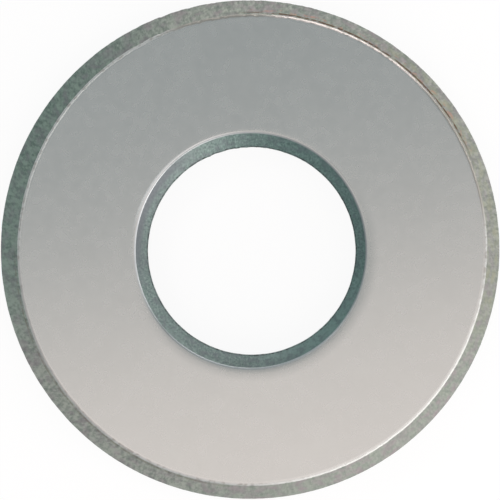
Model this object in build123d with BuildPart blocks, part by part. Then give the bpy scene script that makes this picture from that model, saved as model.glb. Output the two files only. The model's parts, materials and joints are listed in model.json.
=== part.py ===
from build123d import *
import os
from math import radians, sin, tan

# Scoring wheel for a tile cutter: one flat ring of sintered tungsten carbide.
# Its rim is ground to a V from both sides, and it runs loose on a plain axle pin.
# Frame: origin at the centre of the bore, half-way through the thickness.
# +Z runs along the bore, so the wheel lies flat and the cutting edge is in the plane Z = 0.

# Driving dimensions, in millimetres and degrees
outer_diameter = 15.0  # across the finished cutting edge
thickness = 1.5  # between the two lapped faces
edge_angle = 120.0  # between the two bevels, measured at the cutting edge
edge_hone = 0.02  # radius left on the cutting edge by honing
axle_diameter = 6.0  # the plain pin that the wheel runs on
running_clearance = 0.25  # by which the bore is wider than the axle
bore_chamfer = 0.37  # depth of the 45 degree lead-in at each end of the bore
rim_break = 0.07  # radius left between a face and its bevel
bore_break = 0.06  # radius left between a face and the bore's chamfer

# The V grind: the two bevels would meet at a sharp apex just outside the honed edge
half_edge_angle = radians(edge_angle / 2)
apex_radius = outer_diameter / 2 + edge_hone * (1 / sin(half_edge_angle) - 1)
bevel_width = thickness / 2 / tan(half_edge_angle)
face_rim_radius = apex_radius - bevel_width

# The bore's plain wall, and the mouth that the chamfer opens on each face
bore_radius = (axle_diameter + running_clearance) / 2
mouth_radius = bore_radius + bore_chamfer
face_height = thickness / 2
wall_height = face_height - bore_chamfer

# Cutter wheel, turned about the bore from its ground section
with BuildPart() as cutter_wheel:
    with BuildSketch(Plane.XZ) as ground_section:
        with BuildLine():
            Polyline(
                (bore_radius, -wall_height),
                (bore_radius, wall_height),
                (mouth_radius, face_height),
                (face_rim_radius, face_height),
                (apex_radius, 0),
                (face_rim_radius, -face_height),
                (mouth_radius, -face_height),
                close=True,
            )
        make_face()
        # Corners are rounded from the bore outwards, as each rounding adds corners behind it
        mouth_corners = ground_section.vertices().group_by(Axis.X)[1]
        fillet(mouth_corners, radius=bore_break)
        rim_corners = ground_section.vertices().group_by(Axis.X)[-2]
        fillet(rim_corners, radius=rim_break)
        cutting_edge = ground_section.vertices().group_by(Axis.X)[-1]
        fillet(cutting_edge, radius=edge_hone)
    revolve(axis=Axis.Z)

cutter_wheel.part.label = "cutter_wheel"

os.makedirs("parts", exist_ok=True)
export_step(cutter_wheel.part, "parts/cutter_wheel.step")
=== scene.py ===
import json
from math import cos, degrees, pi, radians, sin, tan

import bpy
from bpy.props import FloatProperty, FloatVectorProperty, IntProperty, PointerProperty
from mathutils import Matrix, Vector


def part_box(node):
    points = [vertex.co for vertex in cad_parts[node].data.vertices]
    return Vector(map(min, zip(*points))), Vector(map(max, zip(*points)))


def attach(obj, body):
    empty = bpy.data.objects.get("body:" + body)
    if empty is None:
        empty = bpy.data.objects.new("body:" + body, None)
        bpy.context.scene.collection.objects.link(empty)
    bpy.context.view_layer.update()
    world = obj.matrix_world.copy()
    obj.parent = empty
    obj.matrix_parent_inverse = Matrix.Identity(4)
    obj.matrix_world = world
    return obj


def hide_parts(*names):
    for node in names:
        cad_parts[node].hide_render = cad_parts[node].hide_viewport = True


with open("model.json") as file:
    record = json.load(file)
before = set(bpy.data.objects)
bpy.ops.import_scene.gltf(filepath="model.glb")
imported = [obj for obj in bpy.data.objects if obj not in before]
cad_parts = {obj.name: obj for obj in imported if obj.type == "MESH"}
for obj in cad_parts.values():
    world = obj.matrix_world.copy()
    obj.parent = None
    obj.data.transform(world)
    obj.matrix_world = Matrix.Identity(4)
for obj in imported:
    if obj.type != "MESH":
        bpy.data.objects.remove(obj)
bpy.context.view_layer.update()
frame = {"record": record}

bl_info = {
    "name": "Tile Cutter Wheel",
    "version": (1, 0, 0),
    "blender": (4, 5, 0),
    "location": "3D View > Sidebar > Cutter Wheel",
    "description": "Makes a ground carbide scoring wheel, its finishes and a plain stage",
    "category": "Add Mesh",
}

WHEEL = "cutter_wheel"
BODY = "root"
MM = 0.001

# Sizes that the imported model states: the wheel's box, and the bore's plain wall
wheel_low, wheel_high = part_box(WHEEL)
bore = next(mount for mount in frame["record"]["mounts"] if mount["name"] == "bore")["dims"]
wall_radius = bore["r_mm"] * MM
wall_half_length = bore["length_mm"] * MM / 2
EDGE_RADIUS = wheel_high.x


def linear(hex_colour):
    """Turns an sRGB hex colour into the linear values that a shader reads"""
    channels = [int(hex_colour[start:start + 2], 16) / 255 for start in (1, 3, 5)]
    return tuple(c / 12.92 if c <= 0.04045 else ((c + 0.055) / 1.055) ** 2.4 for c in channels)


def length_setting(name, description, default):
    """A length in metres"""
    return FloatProperty(
        name=name, description=description, default=default, subtype="DISTANCE", unit="LENGTH"
    )


def angle_setting(name, description, turn):
    """An angle, given in degrees"""
    return FloatProperty(
        name=name, description=description, default=radians(turn), subtype="ANGLE", unit="ROTATION"
    )


def shift_setting(name, description, across, along):
    """A sideways shift, given in millimetres"""
    return FloatVectorProperty(
        name=name,
        description=description,
        size=3,
        default=(across * MM, along * MM, 0.0),
        subtype="TRANSLATION",
        unit="LENGTH",
    )


def colour_setting(name, description, default):
    """A colour in linear values"""
    return FloatVectorProperty(
        name=name, description=description, size=3, default=default, subtype="COLOR"
    )


class CutterWheelSizes(bpy.types.PropertyGroup):
    """The ground section, as designed"""

    outer_radius: length_setting(
        "Outer Radius", "From the bore's axis to the cutting edge", wheel_high.x
    )
    half_thickness: length_setting(
        "Half Thickness", "From the cutting edge's plane to a lapped face", wheel_high.z
    )
    bore_radius: length_setting(
        "Bore Radius", "Of the plain wall that runs on the axle", wall_radius
    )
    bore_chamfer: length_setting(
        "Bore Chamfer",
        "Width of the 45 degree lead-in at each end of the bore",
        wheel_high.z - wall_half_length,
    )
    edge_half_angle: angle_setting(
        "Edge Half Angle", "Between one bevel and the plane of the cutting edge", 60
    )
    edge_hone: length_setting(
        "Edge Hone", "Radius left on the cutting edge by honing", 0.02 * MM
    )
    rim_break: length_setting("Rim Break", "Radius between a face and its bevel", 0.115 * MM)
    mouth_break: length_setting(
        "Mouth Break", "Radius between a face and the bore's chamfer", 0.1 * MM
    )
    wall_break: length_setting(
        "Wall Break", "Radius between the bore's chamfer and its plain wall", 0.02 * MM
    )
    roll_off_width: length_setting(
        "Roll-Off Width", "How far from the mouth the lapped face starts to fall away", 0.2 * MM
    )
    roll_off_depth: length_setting(
        "Roll-Off Depth", "How deep the lapped face has fallen at the mouth", 0.002 * MM
    )
    segments: IntProperty(
        name="Segments", description="Steps round the wheel", default=1600, min=64
    )


class CutterWheelRunOut(bpy.types.PropertyGroup):
    """What the grinding left off centre, out of round and ragged"""

    bore_shift: shift_setting(
        "Bore Shift", "How far the bore is off the cutting edge's centre", 0.049, -0.04
    )
    mouth_shift: shift_setting(
        "Mouth Shift", "How far the bore's mouth is off the cutting edge's centre", 0.012, -0.028
    )
    mouth_oval: length_setting(
        "Mouth Oval", "By how much the mouth is longer one way than round", 0.035 * MM
    )
    mouth_long_axis: angle_setting(
        "Mouth Long Axis", "Direction in which the mouth is longest", 90
    )
    rim_shift: shift_setting(
        "Rim Shift", "How far the face's rim is off the cutting edge's centre", 0.066, -0.011
    )
    rim_oval: length_setting(
        "Rim Oval", "By how much the face's rim is longer one way than round", 0.028 * MM
    )
    rim_long_axis: angle_setting(
        "Rim Long Axis", "Direction in which the face's rim is longest", 60
    )
    roll_off_shift: shift_setting(
        "Roll-Off Shift",
        "How far the face's roll-off round the mouth is off the mouth's centre",
        0.05,
        -0.11,
    )
    over_grind: length_setting(
        "Over-Grind",
        "How far the bevels run into the face beyond their nominal width",
        0.041 * MM,
    )
    over_bore: length_setting(
        "Over-Bore",
        "How far the bore's chamfer runs into the face beyond its nominal width",
        0.014 * MM,
    )
    rim_ragged: length_setting(
        "Ragged Rim",
        "How far the grinding has torn into the face's rim on its worst side",
        0.05 * MM,
    )
    worst_side: angle_setting("Worst Side", "Direction in which the rim is most torn", 98)
    edge_ragged: length_setting(
        "Ragged Edge",
        "How far the fine chips in the cutting edge and the bore go in on that side",
        0.03 * MM,
    )
    chip_spacing: length_setting(
        "Chip Spacing", "Distance between torn places along the rim", 0.28 * MM
    )
    seed: IntProperty(name="Seed", description="Chooses where the chips fall", default=7)


class CutterWheelFinishes(bpy.types.PropertyGroup):
    """Colours of the three finishes of the carbide"""

    lapped_light: colour_setting(
        "Lapped, Light", "Lighter tone of the lapped faces", linear("#c6c9c5")
    )
    lapped_dark: colour_setting(
        "Lapped, Dark", "Darker tone of the lapped faces", linear("#c3c6c2")
    )
    # Painted shade on the lapped face beside the bore's mouth
    lapped_shade: colour_setting(
        "Lapped, Dull", "Tone of the duller band beside the bore's mouth", linear("#9fa5a2")
    )
    broken_edge: colour_setting(
        "Broken Edge", "Tone of the broken edge round the face's rim", linear("#babdbb")
    )
    warm_edge: colour_setting(
        "Warm Edge", "Tone of the rim's broken edge where the grinding ran hot", linear("#cdc7c3")
    )
    # Also the painted shade on one stretch of the rim's broken edge
    dull_and_shaded_edge: colour_setting(
        "Dull Edge", "Tone of the rim's broken edge where it is torn or burnt", linear("#95948e")
    )
    # Tone of the mouth's broken edge, painted darker as shade
    shaded_mouth_edge: colour_setting(
        "Dull Mouth", "Tone of the broken edge round the bore's mouth", linear("#8a9293")
    )
    # This colour is a highlight painted on the mouth's broken edge
    mouth_highlight: colour_setting(
        "Rubbed Mouth", "Tone of the mouth's edge where the axle has rubbed it", linear("#bfc5c7")
    )
    # Colour of the highlights painted on the lapped face, beside the mouth and by the even rim
    highlit_face: colour_setting(
        "Rubbed Face",
        "Brightest tone of the lapped face, beside the mouth and where the rim is even",
        linear("#ecf2f1"),
    )
    ground_light: colour_setting(
        "Ground, Light", "Tops of the grinding marks on the bevels", linear("#a2a8a0")
    )
    ground_dark: colour_setting(
        "Ground, Dark", "Bottoms of the grinding marks on the bevels", linear("#76807a")
    )
    ground_straw: colour_setting(
        "Ground, Straw", "Straw tint of heat on the bevels", linear("#9c9b88")
    )
    ground_violet: colour_setting(
        "Ground, Violet", "Violet tint of heat on the bevels", linear("#978a90")
    )
    ground_blush: colour_setting(
        "Ground, Blush", "Red spots of heat beside the grinding burn", linear("#b48a78")
    )
    # Painted shade with a teal tint on one side of the bevels
    teal_shade_tint: colour_setting(
        "Coolant Film",
        "What the film left by the coolant multiplies the bevels by",
        linear("#cbe0dd"),
    )
    grinding_burn: colour_setting(
        "Grinding Burn", "Brown line that the grinding burnt along the rim", linear("#5e4a38")
    )
    sintered_light: colour_setting(
        "Sintered, Light", "Lighter tone of the bore and its chamfers", linear("#879794")
    )
    sintered_dark: colour_setting(
        "Sintered, Dark", "Darker tone of the bore and its chamfers", linear("#61716e")
    )
    sintered_violet: colour_setting(
        "Sintered, Violet", "Oxide tint near the bore's mouth", linear("#6d7177")
    )
    # A painted teal reflection on one side of the bore
    teal_reflection_tint: colour_setting(
        "Sintered, Teal", "What the teal side of the bore is multiplied by", linear("#e7fbf9")
    )
    # Darker tone in the corner between the bore's chamfer and its wall, and by the mouth on one
    # side
    corner_darkening: colour_setting(
        "Corner Grime",
        "Grime in the corner between the bore's chamfer and its wall",
        linear("#3a4140"),
    )


class CutterWheelStudio(bpy.types.PropertyGroup):
    """Floor, lamps and camera"""

    floor_colour: colour_setting("Floor", "Colour of the studio floor", linear("#ffffff"))
    floor_width: length_setting("Floor Width", "Side of the square floor", 3.0)
    floor_glow: FloatProperty(
        name="Floor Glow",
        description="Share of plain white that the floor shows to the camera and in the metal",
        default=0.91,
        subtype="FACTOR",
        min=0.0,
        max=1.0,
    )
    room_colour: colour_setting(
        "Room", "Colour and level of the light from all round", (0.452, 0.488, 0.514)
    )
    overhead_colour: colour_setting(
        "Overhead", "Colour of the softbox over the lower half of the picture", (1.0, 0.795, 0.741)
    )
    overhead_level: FloatProperty(
        name="Overhead Level", description="Radiance of the overhead softbox", default=0.781
    )
    key_colour: colour_setting("Key", "Colour of the other softboxes", (1.0, 0.92, 0.88))
    key_level: FloatProperty(
        name="Key Level",
        description="Radiance of the low softboxes at the lower right of the picture",
        default=10.5,
    )
    side_level: FloatProperty(
        name="Side Level",
        description="Radiance of the low softboxes at the upper right of the picture",
        default=3.75,
    )
    rear_level: FloatProperty(
        name="Rear Level",
        description="Radiance of the small softbox at the upper left of the picture",
        default=3.4,
    )
    camera_height: length_setting(
        "Camera Height", "From the cutting edge's plane up to the camera", 230 * MM
    )
    view_half_width: length_setting(
        "View Half Width",
        "Half of what the picture shows in the cutting edge's plane",
        7.519 * MM,
    )


def connect(tree, source, socket):
    """Feeds a socket from a node's first live output, from a socket, or with a plain value"""
    if isinstance(source, bpy.types.Node):
        source = next(output for output in source.outputs if output.enabled)
    if isinstance(source, bpy.types.NodeSocket):
        tree.links.new(source, socket)
    elif socket.type == "RGBA":
        socket.default_value = (*source, 1.0)
    else:
        socket.default_value = source


def add_node(tree, kind, links=None, **settings):
    """Adds one node with its settings; each link names a live input, or gives its number"""
    node = tree.nodes.new(kind)
    for name, value in settings.items():
        setattr(node, name, value)
    for key, source in (links or {}).items():
        if isinstance(key, int):
            socket = node.inputs[key]
        else:
            socket = next(entry for entry in node.inputs if entry.name == key and entry.enabled)
        connect(tree, source, socket)
    return node


# What each corner of the section carries, and as which kind of value
STATION_COLUMNS = (
    ("Place", "VECTOR"),
    ("Rounding", "FLOAT"),
    ("Run-Out", "VECTOR"),
    ("Oval", "FLOAT"),
    ("Long Axis", "FLOAT"),
    ("Ragged", "FLOAT"),
    ("Zone", "FLOAT"),
)

# Zones of the section, which carry the three finishes
BORE, FACE, BEVEL = 0.0, 1.0, 2.0

ORIGIN = (0.0, 0.0, 0.0)

# Neighbours this far along each straight run hold the run's shading straight
HOLD = (0.09 * MM, 0.09 * MM, 0.0)
SHORT_HOLD = (0.03 * MM, 0.03 * MM, 0.0)

# The roll-off's middle lies at one share of its width and shift, where the face has risen by
# another share of the depth. It is clear of the mouth's rounding by a share of that radius.
ROLL_MIDDLE = 0.45
ROLL_RISE = 0.72
BREAK_CLEARANCE = 0.25

DIAGONAL = 0.7071

# Levels of the noise at which a tear starts and is full, and cosines of the angle from the worst
# side at which tears start to grow and are full, with their share everywhere else
TEAR_START, TEAR_FULL = 0.45, 0.75
WORSE_START, WORSE_FULL, ELSEWHERE = 0.85, 0.98, 0.3

# A strip between two zones carries their mean, and this margin gives it the outer finish
ZONE_MARGIN = 0.1

# Steps in each rounding of the section
ROUNDING_STEPS = 4


def lay_out_stations(tree, size):
    """Lists the corners of the upper half-section, from the bore out to the cutting edge"""
    half = size["Half Thickness"]
    chamfer = size["Bore Chamfer"]
    depth = size["Roll-Off Depth"]
    wall_height = add_node(tree, "ShaderNodeMath", {0: half, 1: chamfer}, operation="SUBTRACT")
    nominal_mouth = add_node(tree, "ShaderNodeMath", {0: size["Bore Radius"], 1: chamfer})
    mouth_radius = add_node(tree, "ShaderNodeMath", {0: nominal_mouth, 1: size["Over-Bore"]})
    mouth_height = add_node(tree, "ShaderNodeMath", {0: half, 1: depth}, operation="SUBTRACT")

    # The bevels would meet at a sharp apex, just outside the honed edge
    hone = size["Edge Hone"]
    sine = add_node(tree, "ShaderNodeMath", {0: size["Edge Half Angle"]}, operation="SINE")
    tangent = add_node(tree, "ShaderNodeMath", {0: size["Edge Half Angle"]}, operation="TANGENT")
    blunting = add_node(tree, "ShaderNodeMath", {0: hone, 1: sine}, operation="DIVIDE")
    sharp_gain = add_node(tree, "ShaderNodeMath", {0: blunting, 1: hone}, operation="SUBTRACT")
    apex_radius = add_node(tree, "ShaderNodeMath", {0: size["Outer Radius"], 1: sharp_gain})
    bevel_width = add_node(tree, "ShaderNodeMath", {0: half, 1: tangent}, operation="DIVIDE")
    nominal_rim = add_node(
        tree, "ShaderNodeMath", {0: apex_radius, 1: bevel_width}, operation="SUBTRACT"
    )
    rim_radius = add_node(
        tree, "ShaderNodeMath", {0: nominal_rim, 1: size["Over-Grind"]}, operation="SUBTRACT"
    )

    # Corners as (radius, height)
    wall = add_node(tree, "ShaderNodeCombineXYZ", {0: size["Bore Radius"], 1: wall_height})
    mouth = add_node(tree, "ShaderNodeCombineXYZ", {0: mouth_radius, 1: mouth_height})
    rim = add_node(tree, "ShaderNodeCombineXYZ", {0: rim_radius, 1: half})
    apex = add_node(tree, "ShaderNodeCombineXYZ", {0: apex_radius})
    bevel_run = add_node(tree, "ShaderNodeVectorMath", {0: apex, 1: rim}, operation="SUBTRACT")
    down_bevel = add_node(tree, "ShaderNodeVectorMath", {0: bevel_run}, operation="NORMALIZE")
    up_bevel = add_node(
        tree, "ShaderNodeVectorMath", {0: down_bevel, 1: (-1.0, -1.0, 0.0)}, operation="MULTIPLY"
    )

    # The lapped face falls away towards the mouth in a shallow curve
    face_level = add_node(tree, "ShaderNodeCombineXYZ", {1: depth})
    mouth_level = add_node(tree, "ShaderNodeVectorMath", {0: mouth, 1: face_level})
    roll_end = add_node(tree, "ShaderNodeCombineXYZ", {0: size["Roll-Off Width"]})
    roll_start = add_node(tree, "ShaderNodeVectorMath", {0: mouth_level, 1: roll_end})
    clearance = add_node(
        tree, "ShaderNodeMath", {0: size["Mouth Break"], 1: BREAK_CLEARANCE}, operation="MULTIPLY"
    )
    past_break = add_node(tree, "ShaderNodeCombineXYZ", {0: clearance})
    clear_mouth = add_node(tree, "ShaderNodeVectorMath", {0: mouth, 1: past_break})
    roll_middle = add_node(
        tree,
        "ShaderNodeVectorMath",
        {0: roll_end, 1: (ROLL_MIDDLE, 0.0, 0.0), 2: clear_mouth},
        operation="MULTIPLY_ADD",
    )
    roll_lift = add_node(
        tree,
        "ShaderNodeVectorMath",
        {0: face_level, 1: (0.0, ROLL_RISE, 0.0), 2: roll_middle},
        operation="MULTIPLY_ADD",
    )

    wall_below, chamfer_start, chamfer_end, face_start, face_end, bevel_start, bevel_end = (
        add_node(
            tree, "ShaderNodeVectorMath", {0: way, 1: hold, 2: corner}, operation="MULTIPLY_ADD"
        )
        for way, hold, corner in (
            ((0.0, -1.0, 0.0), SHORT_HOLD, wall),
            ((DIAGONAL, DIAGONAL, 0.0), SHORT_HOLD, wall),
            ((-DIAGONAL, -DIAGONAL, 0.0), HOLD, mouth),
            ((1.0, 0.0, 0.0), HOLD, roll_start),
            ((-1.0, 0.0, 0.0), HOLD, rim),
            (down_bevel, HOLD, rim),
            (up_bevel, SHORT_HOLD, apex),
        )
    )

    roll_shift = add_node(
        tree, "ShaderNodeVectorMath", {0: size["Mouth Shift"], 1: size["Roll-Off Shift"]}
    )
    half_roll_shift = add_node(
        tree,
        "ShaderNodeVectorMath",
        {0: size["Roll-Off Shift"], 1: (ROLL_MIDDLE, ROLL_MIDDLE, 0.0), 2: size["Mouth Shift"]},
        operation="MULTIPLY_ADD",
    )
    in_bore = (size["Bore Shift"], 0.0, 0.0, size["Ragged Edge"], BORE)
    mouth_round = (size["Mouth Shift"], size["Mouth Oval"], size["Mouth Long Axis"], 0.0)
    roll_round = (size["Mouth Oval"], size["Mouth Long Axis"], 0.0, FACE)
    rim_round = (size["Rim Shift"], size["Rim Oval"], size["Rim Long Axis"], size["Ragged Rim"])
    at_edge = (ORIGIN, 0.0, 0.0, size["Ragged Edge"], BEVEL)
    return (
        (wall_below, 0.0, *in_bore),
        (wall, size["Wall Break"], *in_bore),
        (chamfer_start, 0.0, *in_bore),
        (chamfer_end, 0.0, *mouth_round, BORE),
        (mouth, size["Mouth Break"], *mouth_round, FACE),
        (roll_lift, 0.0, half_roll_shift, *roll_round),
        (roll_start, 0.0, roll_shift, *roll_round),
        (face_start, 0.0, roll_shift, *roll_round),
        (face_end, 0.0, *rim_round, FACE),
        (rim, size["Rim Break"], *rim_round, FACE),
        (bevel_start, 0.0, *rim_round, BEVEL),
        (bevel_end, 0.0, *at_edge),
        (apex, hone, *at_edge),
    )


def push_faults(tree, size, carried):
    """Gives how far each point is pushed aside, out of round and in by tears and chips"""
    position = add_node(tree, "GeometryNodeInputPosition")
    outwards = add_node(
        tree, "ShaderNodeVectorMath", {0: position, 1: (1.0, 1.0, 0.0)}, operation="MULTIPLY"
    )
    direction = add_node(tree, "ShaderNodeVectorMath", {0: outwards}, operation="NORMALIZE")
    flat = add_node(tree, "ShaderNodeSeparateXYZ", {0: direction}).outputs
    turn = add_node(tree, "ShaderNodeMath", {0: flat["Y"], 1: flat["X"]}, operation="ARCTAN2")

    # Out of round: longest along the long axis, shortest across it
    off_axis = add_node(
        tree, "ShaderNodeMath", {0: turn, 1: carried["Long Axis"]}, operation="SUBTRACT"
    )
    twice = add_node(tree, "ShaderNodeMath", {0: off_axis, 1: 2.0}, operation="MULTIPLY")
    swing = add_node(tree, "ShaderNodeMath", {0: twice}, operation="COSINE")
    bulge = add_node(tree, "ShaderNodeMath", {0: swing, 1: carried["Oval"]}, operation="MULTIPLY")

    # Torn and chipped places only ever go in, and less so away from the worst side
    chip_scale = add_node(
        tree, "ShaderNodeMath", {0: 1.0, 1: size["Chip Spacing"]}, operation="DIVIDE"
    )
    tearing = add_node(
        tree,
        "ShaderNodeTexNoise",
        {
            "Vector": position,
            "W": size["Seed"],
            "Scale": chip_scale,
            "Detail": 3.0,
            "Roughness": 0.6,
        },
        noise_dimensions="4D",
    )
    tear = add_node(
        tree,
        "ShaderNodeMapRange",
        {"Value": tearing, "From Min": TEAR_START, "From Max": TEAR_FULL},
    )
    off_worst = add_node(
        tree, "ShaderNodeMath", {0: turn, 1: size["Worst Side"]}, operation="SUBTRACT"
    )
    towards_worst = add_node(tree, "ShaderNodeMath", {0: off_worst}, operation="COSINE")
    side_share = add_node(
        tree,
        "ShaderNodeMapRange",
        {
            "Value": towards_worst,
            "From Min": WORSE_START,
            "From Max": WORSE_FULL,
            "To Min": ELSEWHERE,
        },
    )
    torn = add_node(tree, "ShaderNodeMath", {0: tear, 1: side_share}, operation="MULTIPLY")
    depth = add_node(tree, "ShaderNodeMath", {0: torn, 1: carried["Ragged"]}, operation="MULTIPLY")
    radial = add_node(tree, "ShaderNodeMath", {0: bulge, 1: depth}, operation="SUBTRACT")
    pushed = add_node(
        tree, "ShaderNodeVectorMath", {0: direction, "Scale": radial}, operation="SCALE"
    )
    return add_node(tree, "ShaderNodeVectorMath", {0: pushed, 1: carried["Run-Out"]})


def build_ring_tree(inputs):
    """Sweeps the ground section round the bore's axis, and lays the grinding's faults over it"""
    tree = bpy.data.node_groups.new("ground_ring", "GeometryNodeTree")
    for name, (kind, _) in inputs.items():
        tree.interface.new_socket(name, in_out="INPUT", socket_type=kind)
    tree.interface.new_socket("Ring", in_out="OUTPUT", socket_type="NodeSocketGeometry")
    size = add_node(tree, "NodeGroupInput").outputs
    stations = lay_out_stations(tree, size)
    last = len(stations) - 1

    # Points past the cutting edge count back to the bore, on the lower side
    index = add_node(tree, "GeometryNodeInputIndex")
    past_edge = add_node(
        tree, "ShaderNodeMath", {0: index, 1: float(last)}, operation="SUBTRACT"
    )
    steps_away = add_node(tree, "ShaderNodeMath", {0: past_edge}, operation="ABSOLUTE")
    station = add_node(
        tree, "ShaderNodeMath", {0: float(last), 1: steps_away}, operation="SUBTRACT"
    )
    side = add_node(tree, "ShaderNodeMath", {0: past_edge}, operation="SIGN")
    columns = []
    for (name, kind), values in zip(STATION_COLUMNS, zip(*stations)):
        column = add_node(
            tree, "GeometryNodeIndexSwitch", {"Index": station}, data_type=kind, label=name
        )
        while len(column.index_switch_items) < len(values):
            column.index_switch_items.new()
        for spot, value in enumerate(values):
            connect(tree, value, column.inputs[str(spot)])
        columns.append(column)

    # The section is drawn about the path's own radius, with its height turned over for the sweep
    place = add_node(tree, "ShaderNodeSeparateXYZ", {0: columns[0]}).outputs
    out_from_path = add_node(
        tree, "ShaderNodeMath", {0: place["X"], 1: size["Bore Radius"]}, operation="SUBTRACT"
    )
    turned_height = add_node(tree, "ShaderNodeMath", {0: place["Y"], 1: side}, operation="MULTIPLY")
    on_section = add_node(tree, "ShaderNodeCombineXYZ", {0: out_from_path, 1: turned_height})
    points = add_node(
        tree, "GeometryNodePoints", {"Count": 2 * last + 1, "Position": on_section}
    )
    carried = add_node(tree, "GeometryNodeCaptureAttribute", domain="POINT")
    for name, kind in STATION_COLUMNS[1:]:
        carried.capture_items.new(kind, name)
    connect(tree, points, carried.inputs["Geometry"])
    for (name, _), column in zip(STATION_COLUMNS[1:], columns[1:]):
        connect(tree, column, carried.inputs[name])
    outline = add_node(tree, "GeometryNodePointsToCurves", {"Points": carried})
    closed = add_node(tree, "GeometryNodeSetSplineCyclic", {"Geometry": outline, "Cyclic": True})
    section = add_node(
        tree,
        "GeometryNodeFilletCurve",
        {
            "Curve": closed,
            "Count": ROUNDING_STEPS,
            "Radius": carried.outputs["Rounding"],
            "Limit Radius": True,
        },
        mode="POLY",
    )
    path = add_node(
        tree,
        "GeometryNodeCurvePrimitiveCircle",
        {"Resolution": size["Segments"], "Radius": size["Bore Radius"]},
    )
    upright = add_node(tree, "GeometryNodeSetCurveNormal", {"Curve": path}, mode="Z_UP")
    ring = add_node(
        tree, "GeometryNodeCurveToMesh", {"Curve": upright, "Profile Curve": section}
    )
    offset = push_faults(tree, size, carried.outputs)
    ground = add_node(tree, "GeometryNodeSetPosition", {"Geometry": ring, "Offset": offset})
    smooth = add_node(
        tree, "GeometryNodeSetShadeSmooth", {"Geometry": ground, "Shade Smooth": True}
    )

    # The rounded corners stay lapped, up to the first strip outside them
    zone = carried.outputs["Zone"]
    from_bevel = (FACE + BEVEL) / 2 - ZONE_MARGIN
    up_to_bore = (BORE + FACE) / 2 + ZONE_MARGIN
    is_bevel = add_node(tree, "ShaderNodeMath", {0: zone, 1: from_bevel}, operation="GREATER_THAN")
    is_bore = add_node(tree, "ShaderNodeMath", {0: zone, 1: up_to_bore}, operation="LESS_THAN")
    whole = add_node(tree, "GeometryNodeRealizeInstances", {"Geometry": smooth})
    lapped = add_node(
        tree, "GeometryNodeSetMaterial", {"Geometry": whole, "Material": size["Lapped"]}
    )
    bevelled = add_node(
        tree,
        "GeometryNodeSetMaterial",
        {"Geometry": lapped, "Selection": is_bevel, "Material": size["Ground"]},
    )
    finished = add_node(
        tree,
        "GeometryNodeSetMaterial",
        {"Geometry": bevelled, "Selection": is_bore, "Material": size["Sintered"]},
    )
    add_node(tree, "NodeGroupOutput", {0: finished})
    return tree


# Mean of a noise pattern, and the levels between which two or three of them together set a tone
PATTERN_MEAN = 0.5
TWO_PATTERNS_LOW, TWO_PATTERNS_HIGH = 0.7, 1.3
THREE_PATTERNS_LOW, THREE_PATTERNS_HIGH = 1.19, 1.78


def start_metal(name):
    """Starts a bare metal finish. Returns it, its tree, its shader and the wheel's coordinates"""
    material = bpy.data.materials.new(name)
    material.use_nodes = True
    tree = material.node_tree
    tree.nodes.clear()
    metal = add_node(tree, "ShaderNodeBsdfPrincipled", {"Metallic": 1.0})
    add_node(tree, "ShaderNodeOutputMaterial", {"Surface": metal})
    here = add_node(tree, "ShaderNodeTexCoord").outputs["Object"]
    return material, tree, metal, here


def find_polar(tree, here, centre):
    """Gives the direction and the distance of each place from an upright axis through a centre"""
    off_centre = add_node(tree, "ShaderNodeVectorMath", {0: here, 1: centre}, operation="SUBTRACT")
    flat = add_node(
        tree, "ShaderNodeVectorMath", {0: off_centre, 1: (1.0, 1.0, 0.0)}, operation="MULTIPLY"
    )
    direction = add_node(tree, "ShaderNodeVectorMath", {0: flat}, operation="NORMALIZE")
    distance = add_node(tree, "ShaderNodeVectorMath", {0: flat}, operation="LENGTH")
    return direction, distance.outputs["Value"]


def mask_side(tree, direction, side):
    """Marks one side of the wheel. A side has a compass direction, the angles from it at which its
    mark is full and gone, in degrees, and the mark's full strength"""
    compass, full, gone, strength = side
    towards = (cos(radians(compass)), sin(radians(compass)), 0.0)
    facing = add_node(
        tree, "ShaderNodeVectorMath", {0: direction, 1: towards}, operation="DOT_PRODUCT"
    )
    return add_node(
        tree,
        "ShaderNodeMapRange",
        {
            "Value": facing.outputs["Value"],
            "From Min": cos(radians(gone)),
            "From Max": cos(radians(full)),
            "To Max": strength,
        },
        interpolation_type="SMOOTHSTEP",
    )


def mask_band(tree, distance, band):
    """Marks a ring round the wheel. A band has a middle radius, a half width, and the width over
    which each of its borders fades, in millimetres"""
    middle, half, blur = (value * MM for value in band)
    past_middle = add_node(tree, "ShaderNodeMath", {0: distance, 1: middle}, operation="SUBTRACT")
    off_middle = add_node(tree, "ShaderNodeMath", {0: past_middle}, operation="ABSOLUTE")
    return add_node(
        tree,
        "ShaderNodeMapRange",
        {
            "Value": off_middle,
            "From Min": half,
            "From Max": half + blur,
            "To Min": 1.0,
            "To Max": 0.0,
        },
        interpolation_type="SMOOTHSTEP",
    )


def lay_over(tree, under, tone, *shares, blend_type="MIX"):
    """Lays one colour over another, where all of its shares meet"""
    share = shares[0]
    for factor in shares[1:]:
        share = add_node(tree, "ShaderNodeMath", {0: share, 1: factor}, operation="MULTIPLY")
    links = {"Factor": share, "A": under, "B": tone}
    return add_node(tree, "ShaderNodeMix", links, data_type="RGBA", blend_type=blend_type)


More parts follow.
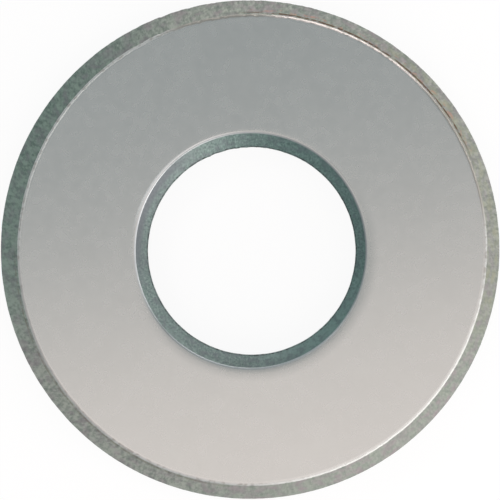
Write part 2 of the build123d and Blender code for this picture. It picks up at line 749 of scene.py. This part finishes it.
def draw_streaks(tree, direction, distance, streaks):
    """Noise drawn out from the axis. Streaks have a pitch across and a length along, in
    millimetres, and an angle in degrees by which they lean over"""
    pitch, length, lean = streaks
    lean_rate = tan(radians(lean)) / EDGE_RADIUS
    steps_round = EDGE_RADIUS / (pitch * MM)
    steps_out = 1 / (length * MM)
    twist = add_node(tree, "ShaderNodeMath", {0: distance, 1: lean_rate}, operation="MULTIPLY")
    leaning = add_node(
        tree,
        "ShaderNodeVectorRotate",
        {"Vector": direction, "Angle": twist},
        rotation_type="Z_AXIS",
    )
    across = add_node(
        tree, "ShaderNodeVectorMath", {0: leaning, "Scale": steps_round}, operation="SCALE"
    )
    along = add_node(tree, "ShaderNodeMath", {0: distance, 1: steps_out}, operation="MULTIPLY")
    lengthwise = add_node(tree, "ShaderNodeCombineXYZ", {2: along})
    drawn = add_node(tree, "ShaderNodeVectorMath", {0: across, 1: lengthwise})
    return add_node(
        tree,
        "ShaderNodeTexNoise",
        {"Vector": drawn, "Scale": 1.0, "Detail": 2.0, "Roughness": 0.6},
    )


def finish_metal(tree, metal, colour, roughness, height, depth):
    """Gives a finish its colour, its roughness and a relief of the given depth"""
    relief = add_node(
        tree, "ShaderNodeBump", {"Strength": 1.0, "Distance": depth, "Height": height}
    )
    connect(tree, colour, metal.inputs["Base Color"])
    connect(tree, roughness, metal.inputs["Roughness"])
    connect(tree, relief, metal.inputs["Normal"])


# Sizes of the lapped finish's patterns, and the depth of its grain
LAPPED_CLOUD = 1.1 * MM
LAPPED_GRAIN = 0.28 * MM
LAPPED_RELIEF = 0.00005 * MM
RIM_WEAR = 0.17 * MM

# Lapped face: where painted shade follows the roll-off, where the thin band beside the mouth
# carries painted shade, and where it carries a painted highlight
ROLL_SHADE_SIDE = (-60, 55, 110, 0.66)
THIN_SHADE_SIDE = (65, 18, 48, 0.45)
BRIGHT_BAND_SIDE = (132, 14, 44, 0.6)
THIN_BAND = (3.554, 0.016, 0.036)

# The painted shade of the roll-off is full out to one radius and gone at the next. Close to the
# mouth it shows only in part, and from a last radius on it shows wholly.
ROLL_SHADE_FULL, ROLL_SHADE_GONE = 3.4 * MM, 3.88 * MM
ROLL_SHADE_PART, ROLL_SHADE_WHOLE, ROLL_SHADE_SHARE = 3.53 * MM, 3.63 * MM, 0.7

# Levels of the grain, and the lapped face's roughness at each
GRAIN_LOW, GRAIN_HIGH = 0.3, 0.7
SMOOTHEST, ROUGHEST = 0.263, 0.277

# How upright a broken edge's direction is where it slopes in full, and where it is still level
WHOLLY_SLOPING, STILL_LEVEL = 0.955, 0.999

# Broken edge of the mouth: where a highlight is painted on it, fully on one side and a little on
# two others
MOUTH_HIGHLIGHT_SIDE = (172, 0, 53, 1.0)
NEAR_MOUTH_HIGHLIGHT = (108, 10, 42, 0.33)
FAR_MOUTH_HIGHLIGHT = (-85, 30, 62, 0.47)

# Broken edge of the rim, with painted shade on one stretch and a painted highlight where it is
# even; where it is torn, its direction is the worst side's
TORN_RIM_SPREAD = (8, 17, 1.0)
WARM_RIM = (64, 18, 34, 1.0)
BURNT_RIM = (26, 11, 24, 1.0)
SHADED_RIM = (-152, 14, 31, 0.33)
EVEN_RIM = (-47, 20, 45, 1.0)
EVEN_BAND = (7.0, 0.045, 0.04)
EVEN_BRIGHTNESS = 0.18
NICKED, HARDLY_NICKED = 0.7, 0.25
NICK_START, NICK_FULL = 0.5, 0.36
EDGE_ROUGHNESS, EVEN_ROUGHNESS = 0.47, 0.62
BETWEEN_EDGES = 5.3 * MM


def lapped_carbide(colours, faults):
    """Tungsten carbide lapped flat with fine loose grit: satin, even, with hardly a mark; shade and
    highlights are painted beside the mouth and the rim
    """
    material, tree, metal, here = start_metal("lapped_carbide")
    cloud = add_node(
        tree, "ShaderNodeTexNoise", {"Vector": here, "Scale": 1 / LAPPED_CLOUD, "Detail": 4.0}
    )

    # The grit leaves marks of 0.003 mm, too fine to show, so its grain is drawn at 0.28 mm
    grain = add_node(
        tree, "ShaderNodeTexNoise", {"Vector": here, "Scale": 1 / LAPPED_GRAIN, "Detail": 1.0}
    )
    clouded = add_node(tree, "ShaderNodeMath", {0: cloud, 1: grain})
    tone = add_node(
        tree,
        "ShaderNodeMapRange",
        {"Value": clouded, "From Min": TWO_PATTERNS_LOW, "From Max": TWO_PATTERNS_HIGH},
    )
    lapped = lay_over(tree, colours.lapped_dark, colours.lapped_light, tone)

    # A band of painted shade where the face rolls off beside the mouth, widest on one side
    centre = tuple(a + b for a, b in zip(faults.mouth_shift, faults.roll_off_shift))
    from_roll_centre = find_polar(tree, here, centre)[1]
    fading = add_node(
        tree,
        "ShaderNodeMapRange",
        {
            "Value": from_roll_centre,
            "From Min": ROLL_SHADE_FULL,
            "From Max": ROLL_SHADE_GONE,
            "To Min": 1.0,
            "To Max": 0.0,
        },
        interpolation_type="SMOOTHSTEP",
    )
    about_mouth, from_mouth = find_polar(tree, here, faults.mouth_shift)
    starting = add_node(
        tree,
        "ShaderNodeMapRange",
        {
            "Value": from_mouth,
            "From Min": ROLL_SHADE_PART,
            "From Max": ROLL_SHADE_WHOLE,
            "To Min": ROLL_SHADE_SHARE,
        },
    )
    roll_shade_side = mask_side(tree, about_mouth, ROLL_SHADE_SIDE)
    fading_there = add_node(
        tree, "ShaderNodeMath", {0: fading, 1: roll_shade_side}, operation="MULTIPLY"
    )
    roll_shade = add_node(tree, "ShaderNodeMath", {0: fading_there, 1: starting}, operation="MULTIPLY")

    # A thin band right beside the mouth carries painted shade on one side, and a painted highlight
    # on another
    thin_band = mask_band(tree, from_mouth, THIN_BAND)
    thin_shade_side = mask_side(tree, about_mouth, THIN_SHADE_SIDE)
    thin_shade = add_node(tree, "ShaderNodeMath", {0: thin_shade_side, 1: thin_band}, operation="MULTIPLY")
    painted_shade = add_node(tree, "ShaderNodeMath", {0: roll_shade, 1: thin_shade}, operation="MAXIMUM")
    banded = lay_over(tree, lapped, colours.lapped_shade, painted_shade)
    bright_side = mask_side(tree, about_mouth, BRIGHT_BAND_SIDE)
    highlit_face = lay_over(tree, banded, colours.highlit_face, bright_side, thin_band)

    # The broken edges weren't lapped: they are rougher and a little darker than the face
    normal = add_node(tree, "ShaderNodeTexCoord").outputs["Normal"]
    upright = add_node(tree, "ShaderNodeSeparateXYZ", {0: normal}).outputs["Z"]
    level = add_node(tree, "ShaderNodeMath", {0: upright}, operation="ABSOLUTE")
    sloping = add_node(
        tree,
        "ShaderNodeMapRange",
        {
            "Value": level,
            "From Min": WHOLLY_SLOPING,
            "From Max": STILL_LEVEL,
            "To Min": 1.0,
            "To Max": 0.0,
        },
    )

    # The mouth's is painted darker as shade, with a painted highlight on one side and a little of
    # it on two others
    mouth_highlight_side = mask_side(tree, about_mouth, MOUTH_HIGHLIGHT_SIDE)
    near_mouth_highlight = mask_side(tree, about_mouth, NEAR_MOUTH_HIGHLIGHT)
    far_mouth_highlight = mask_side(tree, about_mouth, FAR_MOUTH_HIGHLIGHT)
    lesser_mouth_highlights = add_node(tree, "ShaderNodeMath", {0: near_mouth_highlight, 1: far_mouth_highlight}, operation="MAXIMUM")
    highlighted = add_node(tree, "ShaderNodeMath", {0: mouth_highlight_side, 1: lesser_mouth_highlights}, operation="MAXIMUM")
    mouth_edge = lay_over(tree, colours.shaded_mouth_edge, colours.mouth_highlight, highlighted)

    # The rim's is warm where the grinding ran hot, dull where it is torn, burnt or nicked, and
    # painted darker as shade on one more stretch
    about_rim, from_rim_centre = find_polar(tree, here, faults.rim_shift)
    warm_side = mask_side(tree, about_rim, WARM_RIM)
    warm_rim = lay_over(tree, colours.broken_edge, colours.warm_edge, warm_side)
    torn_rim = mask_side(tree, about_rim, (degrees(faults.worst_side), *TORN_RIM_SPREAD))
    burnt_rim = mask_side(tree, about_rim, BURNT_RIM)
    shaded_rim = mask_side(tree, about_rim, SHADED_RIM)
    torn_or_burnt = add_node(
        tree, "ShaderNodeMath", {0: torn_rim, 1: burnt_rim}, operation="MAXIMUM"
    )
    dull_and_shaded_stretches = add_node(
        tree, "ShaderNodeMath", {0: torn_or_burnt, 1: shaded_rim}, operation="MAXIMUM"
    )
    even_side = mask_side(tree, about_rim, EVEN_RIM)
    wear = add_node(
        tree, "ShaderNodeTexNoise", {"Vector": here, "Scale": 1 / RIM_WEAR, "Detail": 2.0}
    )
    nick_most = add_node(
        tree, "ShaderNodeMapRange", {"Value": even_side, "To Min": NICKED, "To Max": HARDLY_NICKED}
    )
    nicks = add_node(
        tree,
        "ShaderNodeMapRange",
        {"Value": wear, "From Min": NICK_START, "From Max": NICK_FULL, "To Max": nick_most},
    )
    dull_and_shade_share = add_node(
        tree, "ShaderNodeMath", {0: dull_and_shaded_stretches, 1: nicks}, operation="MAXIMUM"
    )
    rim_edge = lay_over(tree, warm_rim, colours.dull_and_shaded_edge, dull_and_shade_share)
    by_rim = add_node(
        tree, "ShaderNodeMath", {0: from_rim_centre, 1: BETWEEN_EDGES}, operation="GREATER_THAN"
    )
    edges = lay_over(tree, mouth_edge, rim_edge, by_rim)
    edged = lay_over(tree, highlit_face, edges, sloping)

    # Where the rim is even, a highlight is painted on it and on the face beside it
    even_band = mask_band(tree, from_rim_centre, EVEN_BAND)
    finished = lay_over(tree, edged, colours.highlit_face, even_side, even_band, EVEN_BRIGHTNESS)
    polish = add_node(
        tree,
        "ShaderNodeMapRange",
        {
            "Value": grain,
            "From Min": GRAIN_LOW,
            "From Max": GRAIN_HIGH,
            "To Min": SMOOTHEST,
            "To Max": ROUGHEST,
        },
    )

    # There it is also rougher, which spreads the highlight along it
    even_rim = add_node(tree, "ShaderNodeMath", {0: even_side, 1: by_rim}, operation="MULTIPLY")
    edge_roughness = add_node(
        tree,
        "ShaderNodeMapRange",
        {"Value": even_rim, "To Min": EDGE_ROUGHNESS, "To Max": EVEN_ROUGHNESS},
    )
    satin = add_node(
        tree, "ShaderNodeMapRange", {"Value": sloping, "To Min": polish, "To Max": edge_roughness}
    )
    finish_metal(tree, metal, finished, satin, grain, LAPPED_RELIEF)
    return material


# Marks of the diamond wheel: pitch and length in millimetres, and lean in degrees
FIRST_PASS = (0.07, 0.1, 24)
SECOND_PASS = (0.11, 0.3, -12)
COARSE_STROKES = (0.24, 1.0, 36)
GROUND_RELIEF = 0.0008 * MM
GROUND_ROUGHNESS = 0.6

# Sizes of the other patterns on the bevels
GROUND_PATCHES = 0.14 * MM
HEAT_WASH = 0.32 * MM
BLUSH_SPOTS = 0.22 * MM
BURN_GAPS = 0.16 * MM

# Bevels: how evenly each side was ground, and light painted on two stretches and shade on one,
# added to the marks' tone
COARSE_SIDE = (195, 30, 80, 1.0)
FINE_SIDE = (-52, 25, 62, 1.0)
FINE_EVENNESS, FINE_TONE = 0.45, 0.38
FINE_VIOLET = 0.2
GROUND_LIGHT_AND_SHADE = ((-105, 15, 40, 0.09), (-173, 12, 38, 0.1), (62, 10, 32, -0.11))

# How strongly the coarse strokes show in the tone, and in the tints
STROKE_TONE, STROKE_TINT = 0.85, 0.9

# Bevels: tints of heat, painted shade with a teal tint, and grinding burn
STRAW_SIDE = (20, 22, 50, 1.0)
STRAW_BAND = (7.18, 0.1, 0.26)
VIOLET_SIDE = (95, 30, 80, 1.0)
TEAL_SHADE_SIDE = (158, 0, 54, 1.0)
HOT_SIDE = (58, 25, 38, 1.0)
FAINT_BURN_SIDE = (-138, 28, 48, 0.35)
BLUSH_BAND = (7.2, 0.02, 0.05)
BURN_LINE = (7.143, 0.01, 0.022)
BURN_WANDER = 0.03 * MM

# Levels of the patterns at which a patch, a spot or a stretch of the burn starts and is full
STRAW_START, STRAW_FULL = 0.42, 0.66
VIOLET_START, VIOLET_FULL = 0.55, 0.32
SPOT_START, SPOT_FULL, SPOT_STRENGTH = 0.54, 0.66, 0.55
BURN_START, BURN_FULL = 0.36, 0.5

# Strength of the tints away from their own side, and on it
STRAW_ELSEWHERE, STRAW_THERE = 0.1, 0.65
VIOLET_ELSEWHERE, VIOLET_THERE = 0.4, 0.57


def ground_carbide(colours, faults):
    """Tungsten carbide ground with a diamond wheel: grey, with short streaks and tints of heat, and
    with light and shade painted on stretches round it"""
    material, tree, metal, here = start_metal("ground_carbide")
    direction, distance = find_polar(tree, here, faults.rim_shift)

    # Marks of the grit, in two passes that lean differently; real ones are 0.01 to 0.05 mm, too
    # fine to show
    first_pass = draw_streaks(tree, direction, distance, FIRST_PASS)
    second_pass = draw_streaks(tree, direction, distance, SECOND_PASS)
    passes = add_node(tree, "ShaderNodeMath", {0: first_pass, 1: second_pass})
    patches = add_node(
        tree, "ShaderNodeTexNoise", {"Vector": here, "Scale": 1 / GROUND_PATCHES, "Detail": 3.0}
    )
    mottled = add_node(tree, "ShaderNodeMath", {0: passes, 1: patches})

    # One side was ground coarsely, and has broader strokes
    strokes = draw_streaks(tree, direction, distance, COARSE_STROKES)
    about_mean = add_node(
        tree, "ShaderNodeMath", {0: strokes, 1: PATTERN_MEAN}, operation="SUBTRACT"
    )
    coarse_side = mask_side(tree, direction, COARSE_SIDE)
    coarse_strokes = add_node(
        tree, "ShaderNodeMath", {0: about_mean, 1: coarse_side}, operation="MULTIPLY"
    )
    shaded = add_node(
        tree,
        "ShaderNodeMath",
        {0: coarse_strokes, 1: STROKE_TONE, 2: mottled},
        operation="MULTIPLY_ADD",
    )

    # Two stretches carry painted light and one painted shade
    for side in GROUND_LIGHT_AND_SHADE:
        stretch = mask_side(tree, direction, side)
        shaded = add_node(tree, "ShaderNodeMath", {0: shaded, 1: stretch})
    tone = add_node(
        tree,
        "ShaderNodeMapRange",
        {"Value": shaded, "From Min": THREE_PATTERNS_LOW, "From Max": THREE_PATTERNS_HIGH},
    )

    # Another side was ground finely, and is more even
    fine_side = mask_side(tree, direction, FINE_SIDE)
    evenness = add_node(
        tree, "ShaderNodeMath", {0: fine_side, 1: FINE_EVENNESS}, operation="MULTIPLY"
    )
    evened = add_node(
        tree, "ShaderNodeMix", {"Factor": evenness, "A": tone, "B": FINE_TONE}, data_type="FLOAT"
    )
    bare = lay_over(tree, colours.ground_dark, colours.ground_light, evened)

    # Straw tint by the rim and violet tint by the edge, both in patches
    wash = add_node(
        tree, "ShaderNodeTexNoise", {"Vector": here, "Scale": 1 / HEAT_WASH, "Detail": 3.0}
    )
    drift = add_node(
        tree,
        "ShaderNodeMath",
        {0: coarse_strokes, 1: STROKE_TINT, 2: wash},
        operation="MULTIPLY_ADD",
    )
    straw_patch = add_node(
        tree,
        "ShaderNodeMapRange",
        {"Value": drift, "From Min": STRAW_START, "From Max": STRAW_FULL},
    )
    straw_band = mask_band(tree, distance, STRAW_BAND)
    straw_side = mask_side(tree, direction, STRAW_SIDE)
    warmth = add_node(
        tree,
        "ShaderNodeMapRange",
        {"Value": straw_side, "To Min": STRAW_ELSEWHERE, "To Max": STRAW_THERE},
    )
    straw = lay_over(tree, bare, colours.ground_straw, warmth, straw_patch, straw_band)
    violet_patch = add_node(
        tree,
        "ShaderNodeMapRange",
        {"Value": drift, "From Min": VIOLET_START, "From Max": VIOLET_FULL},
    )
    violet_side = mask_side(tree, direction, VIOLET_SIDE)
    violet_there = add_node(
        tree,
        "ShaderNodeMapRange",
        {"Value": violet_side, "To Min": VIOLET_ELSEWHERE, "To Max": VIOLET_THERE},
    )
    violet_most = add_node(
        tree,
        "ShaderNodeMath",
        {0: fine_side, 1: FINE_VIOLET, 2: violet_there},
        operation="MULTIPLY_ADD",
    )
    violet = lay_over(tree, straw, colours.ground_violet, violet_patch, violet_most)

    # One side carries painted shade with a teal tint
    teal_shade_side = mask_side(tree, direction, TEAL_SHADE_SIDE)
    teal_shaded = lay_over(tree, violet, colours.teal_shade_tint, teal_shade_side, blend_type="MULTIPLY")

    # The other side ran hot along the rim, and has a thin brown burn there with redder spots beside
    # it; a third side has only the burn, and faintly
    hot_side = mask_side(tree, direction, HOT_SIDE)
    blush_band = mask_band(tree, distance, BLUSH_BAND)
    embers = add_node(
        tree, "ShaderNodeTexNoise", {"Vector": here, "Scale": 1 / BLUSH_SPOTS, "Detail": 1.0}
    )
    spots = add_node(
        tree,
        "ShaderNodeMapRange",
        {
            "Value": embers,
            "From Min": SPOT_START,
            "From Max": SPOT_FULL,
            "To Max": SPOT_STRENGTH,
        },
    )
    blushed = lay_over(tree, teal_shaded, colours.ground_blush, hot_side, spots, blush_band)
    gaps = add_node(
        tree, "ShaderNodeTexNoise", {"Vector": here, "Scale": 1 / BURN_GAPS, "Detail": 2.0}
    )
    wandering = add_node(
        tree, "ShaderNodeMath", {0: gaps, 1: BURN_WANDER, 2: distance}, operation="MULTIPLY_ADD"
    )
    burn_line = mask_band(tree, wandering, BURN_LINE)
    faint_burn = mask_side(tree, direction, FAINT_BURN_SIDE)
    burn_side = add_node(tree, "ShaderNodeMath", {0: hot_side, 1: faint_burn}, operation="MAXIMUM")
    unbroken = add_node(
        tree,
        "ShaderNodeMapRange",
        {"Value": gaps, "From Min": BURN_START, "From Max": BURN_FULL},
    )
    burnt = lay_over(tree, blushed, colours.grinding_burn, burn_side, burn_line, unbroken)
    finish_metal(tree, metal, burnt, GROUND_ROUGHNESS, passes, GROUND_RELIEF)
    return material


# Patterns of the sintered skin: its scuffs' pitch and length in millimetres and lean in degrees,
# and the sizes of the others
SCUFFS = (0.09, 0.06, 15)
SINTERED_CLOUD = 0.08 * MM
OXIDE_PATCHES = 0.18 * MM
SKIN_GRAIN = 0.06 * MM
SKIN_RELIEF = 0.003 * MM
SKIN_ROUGHNESS = 0.6

# Bore and chamfers: stretches of painted light, oxide, the side with a painted teal reflection, and
# a darker band by the mouth
SINTERED_PAINTED_LIGHT = ((-52, 12, 45, 0.3), (118, 8, 30, 0.05))
OXIDE_SIDE = (158, 12, 45, 0.8)
TEAL_REFLECTION_SIDE = (12, 45, 118, 1.0)
DARKER_MOUTH_SIDE = (-92, 10, 42, 0.18)
MOUTH_BAND = (3.46, 0.05, 0.2)
CORNER_BAND = (wall_half_length / MM, 0.015, 0.03)

# Levels of the patterns at which the oxide and the specks of grime start and are full
OXIDE_START, OXIDE_FULL, OXIDE_STRENGTH = 0.46, 0.66, 0.55
SPECK_START, SPECK_FULL = 0.42, 0.58


def sintered_carbide(colours, faults):
    """Tungsten carbide as it left the sintering oven: a dull, grainy, blue-grey skin, with painted
    light on two stretches and a painted teal reflection on one side
    """
    material, tree, metal, here = start_metal("sintered_carbide")
    direction, distance = find_polar(tree, here, faults.bore_shift)
    scuffs = draw_streaks(tree, direction, distance, SCUFFS)
    cloud = add_node(
        tree, "ShaderNodeTexNoise", {"Vector": here, "Scale": 1 / SINTERED_CLOUD, "Detail": 2.0}
    )
    clouded = add_node(tree, "ShaderNodeMath", {0: scuffs, 1: cloud})

    # Two stretches carry painted light
    for side in SINTERED_PAINTED_LIGHT:
        stretch = mask_side(tree, direction, side)
        clouded = add_node(tree, "ShaderNodeMath", {0: clouded, 1: stretch})
    tone = add_node(
        tree,
        "ShaderNodeMapRange",
        {"Value": clouded, "From Min": TWO_PATTERNS_LOW, "From Max": TWO_PATTERNS_HIGH},
    )
    bare = lay_over(tree, colours.sintered_dark, colours.sintered_light, tone)

    # Its oxide is violet in patches, most of all near the mouth on one side
    drift = add_node(
        tree, "ShaderNodeTexNoise", {"Vector": here, "Scale": 1 / OXIDE_PATCHES, "Detail": 3.0}
    )
    oxide_patch = add_node(
        tree,
        "ShaderNodeMapRange",
        {
            "Value": drift,
            "From Min": OXIDE_START,
            "From Max": OXIDE_FULL,
            "To Max": OXIDE_STRENGTH,
        },
    )
    oxide_side = mask_side(tree, direction, OXIDE_SIDE)
    by_mouth = mask_band(tree, distance, MOUTH_BAND)
    oxide_band = add_node(
        tree, "ShaderNodeMath", {0: oxide_side, 1: by_mouth}, operation="MULTIPLY"
    )
    oxide = add_node(tree, "ShaderNodeMath", {0: oxide_band, 1: oxide_patch}, operation="MAXIMUM")
    tinted = lay_over(tree, bare, colours.sintered_violet, oxide)

    # The other side carries a painted teal reflection
    teal_reflection_side = mask_side(tree, direction, TEAL_REFLECTION_SIDE)
    teal = lay_over(tree, tinted, colours.teal_reflection_tint, teal_reflection_side, blend_type="MULTIPLY")

    # Darker in specks in the corner between the chamfer and the plain wall, and thinly by the mouth
    # on one side
    height = add_node(tree, "ShaderNodeSeparateXYZ", {0: here}).outputs["Z"]
    off_middle = add_node(tree, "ShaderNodeMath", {0: height}, operation="ABSOLUTE")
    at_corner = mask_band(tree, off_middle, CORNER_BAND)
    specks = add_node(
        tree,
        "ShaderNodeMapRange",
        {"Value": cloud, "From Min": SPECK_START, "From Max": SPECK_FULL},
    )
    corner_share = add_node(tree, "ShaderNodeMath", {0: at_corner, 1: specks}, operation="MULTIPLY")
    darker_mouth_side = mask_side(tree, direction, DARKER_MOUTH_SIDE)
    darkening_share = add_node(
        tree,
        "ShaderNodeMath",
        {0: darker_mouth_side, 1: by_mouth, 2: corner_share},
        operation="MULTIPLY_ADD",
        use_clamp=True,
    )
    darkened = lay_over(tree, teal, colours.corner_darkening, darkening_share)

    # Grains of 0.001 mm can't show, so the skin's grain is drawn at 0.06 mm
    grain = add_node(
        tree, "ShaderNodeTexNoise", {"Vector": here, "Scale": 1 / SKIN_GRAIN, "Detail": 2.0}
    )
    finish_metal(tree, metal, darkened, SKIN_ROUGHNESS, grain, SKIN_RELIEF)
    return material


def list_inputs(*groups):
    """Gives each setting of the groups as an input of the ring: its kind of socket and its value"""
    kinds = {"INT": "NodeSocketInt", "FLOAT": "NodeSocketFloat"}
    inputs = {}
    for group in groups:
        for key in group.__annotations__:
            setting = group.bl_rna.properties[key]
            kind = "NodeSocketVector" if setting.is_array else kinds[setting.type]
            inputs[setting.name] = (kind, getattr(group, key))
    return inputs


class OBJECT_OT_add_cutter_wheel(bpy.types.Operator):
    """Make the scoring wheel from its ground section, with its three finishes"""

    bl_idname = "object.add_cutter_wheel"
    bl_label = "Add Cutter Wheel"

    def execute(self, context):
        faults = context.scene.cutter_wheel_run_out
        colours = context.scene.cutter_wheel_finishes
        inputs = list_inputs(context.scene.cutter_wheel_sizes, faults)
        finishes = {
            "Lapped": lapped_carbide,
            "Ground": ground_carbide,
            "Sintered": sintered_carbide,
        }
        for name, make_finish in finishes.items():
            inputs[name] = ("NodeSocketMaterial", make_finish(colours, faults))
        wheel = bpy.data.objects.new("ground_wheel", bpy.data.meshes.new("ground_wheel"))
        context.scene.collection.objects.link(wheel)
        tree = build_ring_tree(inputs)
        grind = wheel.modifiers.new("Grind", "NODES")
        grind.node_group = tree
        for socket in tree.interface.items_tree:
            if socket.in_out == "INPUT":
                grind[socket.identifier] = inputs[socket.name][1]
        graph = context.evaluated_depsgraph_get()
        ground = bpy.data.meshes.new_from_object(wheel.evaluated_get(graph))
        wheel.modifiers.remove(grind)
        wheel.data = ground
        if not ground.polygons:
            raise RuntimeError("the ground section made no faces")
        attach(wheel, BODY)
        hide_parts(WHEEL)
        return {"FINISHED"}


# The overhead softbox covers the lower half of the picture, with one edge close to the camera's
# axis: its size, its height over the wheel, its turn in degrees, and where that edge is
OVERHEAD_SIZE = (200 * MM, 160 * MM)
OVERHEAD_HEIGHT = 50 * MM
OVERHEAD_TURN = 10.2
OVERHEAD_EDGE = -1.27 * MM

# The others stand round the wheel at one distance. Each has a name, a compass direction and an
# elevation in degrees, and a width and a height in millimetres. The low ones have gaps between
# them, which the lapped face can mirror in a low view without glaring.
SOFTBOX_DISTANCE = 80 * MM
SOFTBOXES = (
    ("key_softbox", -62, 11, 20, 28),
    ("key_softbox", -28, 11, 20, 28),
    ("side_softbox", 22.5, 10, 50, 24.5),
    ("side_softbox", 67.5, 11, 50, 27),
    ("side_softbox", 101, 7.5, 17, 18),
    ("rear_softbox", 144, 50, 30, 22),
)

# The camera's place over the wheel, and how near and far it sees
CAMERA_SHIFT = (-0.004 * MM, -0.014 * MM)
CAMERA_CLIP = (10 * MM, 10.0)


def add_softbox(context, name, aim, compass, elevation, distance, size, colour, level):
    """Hangs a rectangular softbox of a given radiance, facing the point that it is aimed at"""
    light = bpy.data.lights.new(name, "AREA")
    light.shape = "RECTANGLE"
    light.size, light.size_y = size
    light.color = colour
    light.energy = level * pi * light.size * light.size_y
    softbox = bpy.data.objects.new(name, light)
    context.scene.collection.objects.link(softbox)
    softbox.location = (
        aim[0] + distance * cos(elevation) * cos(compass),
        aim[1] + distance * cos(elevation) * sin(compass),
        aim[2] + distance * sin(elevation),
    )
    softbox.rotation_euler = (pi / 2 - elevation, 0.0, compass + pi / 2)
    softbox.visible_camera = False
    return softbox


def matt_white_board(studio):
    """Matt white board. The camera and the metal also see a share of plain white in it, under
    which shadows stay"""
    board = bpy.data.materials.new("matt_white_board")
    board.use_nodes = True
    tree = board.node_tree
    tree.nodes.clear()
    matt = add_node(tree, "ShaderNodeBsdfDiffuse", {"Color": studio.floor_colour})
    glow = add_node(tree, "ShaderNodeEmission", {"Strength": 1.0})
    ray = add_node(tree, "ShaderNodeLightPath").outputs
    seen = add_node(
        tree,
        "ShaderNodeMath",
        {0: ray["Is Camera Ray"], 1: ray["Is Glossy Ray"]},
        operation="MAXIMUM",
    )
    seen_or_through = add_node(
        tree, "ShaderNodeMath", {0: seen, 1: ray["Is Transmission Ray"]}, operation="MAXIMUM"
    )
    share = add_node(
        tree, "ShaderNodeMath", {0: seen_or_through, 1: studio.floor_glow}, operation="MULTIPLY"
    )
    mix = add_node(tree, "ShaderNodeMixShader", {0: share, 1: matt, 2: glow})
    add_node(tree, "ShaderNodeOutputMaterial", {"Surface": mix})
    return board


class SCENE_OT_set_cutter_wheel_stage(bpy.types.Operator):
    """Set a pale floor, soft studio light and a camera straight above the wheel"""

    bl_idname = "scene.set_cutter_wheel_stage"
    bl_label = "Set Stage"

    def execute(self, context):
        studio = context.scene.cutter_wheel_studio
        reach = studio.floor_width / 2
        mesh = bpy.data.meshes.new("studio_floor")
        corners = ((-reach, -reach), (reach, -reach), (reach, reach), (-reach, reach))
        mesh.from_pydata([(x, y, wheel_low.z) for x, y in corners], [], [(0, 1, 2, 3)])
        mesh.materials.append(matt_white_board(studio))
        floor = bpy.data.objects.new("studio_floor", mesh)
        context.scene.collection.objects.link(floor)

        room = bpy.data.worlds.new("studio_room")
        room.use_nodes = True
        room.node_tree.nodes.clear()
        walls = add_node(room.node_tree, "ShaderNodeBackground", {"Color": studio.room_colour})
        add_node(room.node_tree, "ShaderNodeOutputWorld", {"Surface": walls})
        context.scene.world = room

        turn = radians(OVERHEAD_TURN)
        centre = OVERHEAD_EDGE - OVERHEAD_SIZE[1] / 2
        overhead = add_softbox(
            context,
            "overhead_softbox",
            (-sin(turn) * centre, cos(turn) * centre, 0.0),
            0.0,
            radians(90),
            OVERHEAD_HEIGHT,
            OVERHEAD_SIZE,
            studio.overhead_colour,
            studio.overhead_level,
        )
        overhead.rotation_euler = (0.0, 0.0, turn)
        levels = {
            "key_softbox": studio.key_level,
            "side_softbox": studio.side_level,
            "rear_softbox": studio.rear_level,
        }
        for name, compass, elevation, width, height in SOFTBOXES:
            add_softbox(
                context,
                name,
                ORIGIN,
                radians(compass),
                radians(elevation),
                SOFTBOX_DISTANCE,
                (width * MM, height * MM),
                studio.key_colour,
                levels[name],
            )

        camera = bpy.data.objects.new("camera", bpy.data.cameras.new("camera"))
        context.scene.collection.objects.link(camera)
        camera.location = (*CAMERA_SHIFT, studio.camera_height)
        half_sensor = camera.data.sensor_width / 2
        camera.data.lens = half_sensor * studio.camera_height / studio.view_half_width
        camera.data.clip_start, camera.data.clip_end = CAMERA_CLIP
        context.scene.camera = camera
        context.scene.view_settings.view_transform = "Standard"
        return {"FINISHED"}


# The groups of settings, under their names in the scene
GROUPS = {
    "cutter_wheel_sizes": CutterWheelSizes,
    "cutter_wheel_run_out": CutterWheelRunOut,
    "cutter_wheel_finishes": CutterWheelFinishes,
    "cutter_wheel_studio": CutterWheelStudio,
}


class VIEW3D_PT_cutter_wheel(bpy.types.Panel):
    """Lists the wheel's settings and its two operators"""

    bl_label = "Cutter Wheel"
    bl_space_type = "VIEW_3D"
    bl_region_type = "UI"
    bl_category = "Cutter Wheel"

    def draw(self, context):
        for name in GROUPS:
            group = getattr(context.scene, name)
            box = self.layout.box()
            for key in group.__annotations__:
                box.prop(group, key)
        self.layout.operator(OBJECT_OT_add_cutter_wheel.bl_idname)
        self.layout.operator(SCENE_OT_set_cutter_wheel_stage.bl_idname)


CLASSES = (
    *GROUPS.values(),
    OBJECT_OT_add_cutter_wheel,
    SCENE_OT_set_cutter_wheel_stage,
    VIEW3D_PT_cutter_wheel,
)


def register():
    for entry in CLASSES:
        bpy.utils.register_class(entry)
    for name, group in GROUPS.items():
        setattr(bpy.types.Scene, name, PointerProperty(type=group))


def unregister():
    for name in reversed(GROUPS):
        delattr(bpy.types.Scene, name)
    for entry in reversed(CLASSES):
        bpy.utils.unregister_class(entry)


def main():
    """Makes the wheel and its stage"""
    register()
    bpy.ops.object.add_cutter_wheel()
    bpy.ops.scene.set_cutter_wheel_stage()


if __name__ == "__main__":
    main()
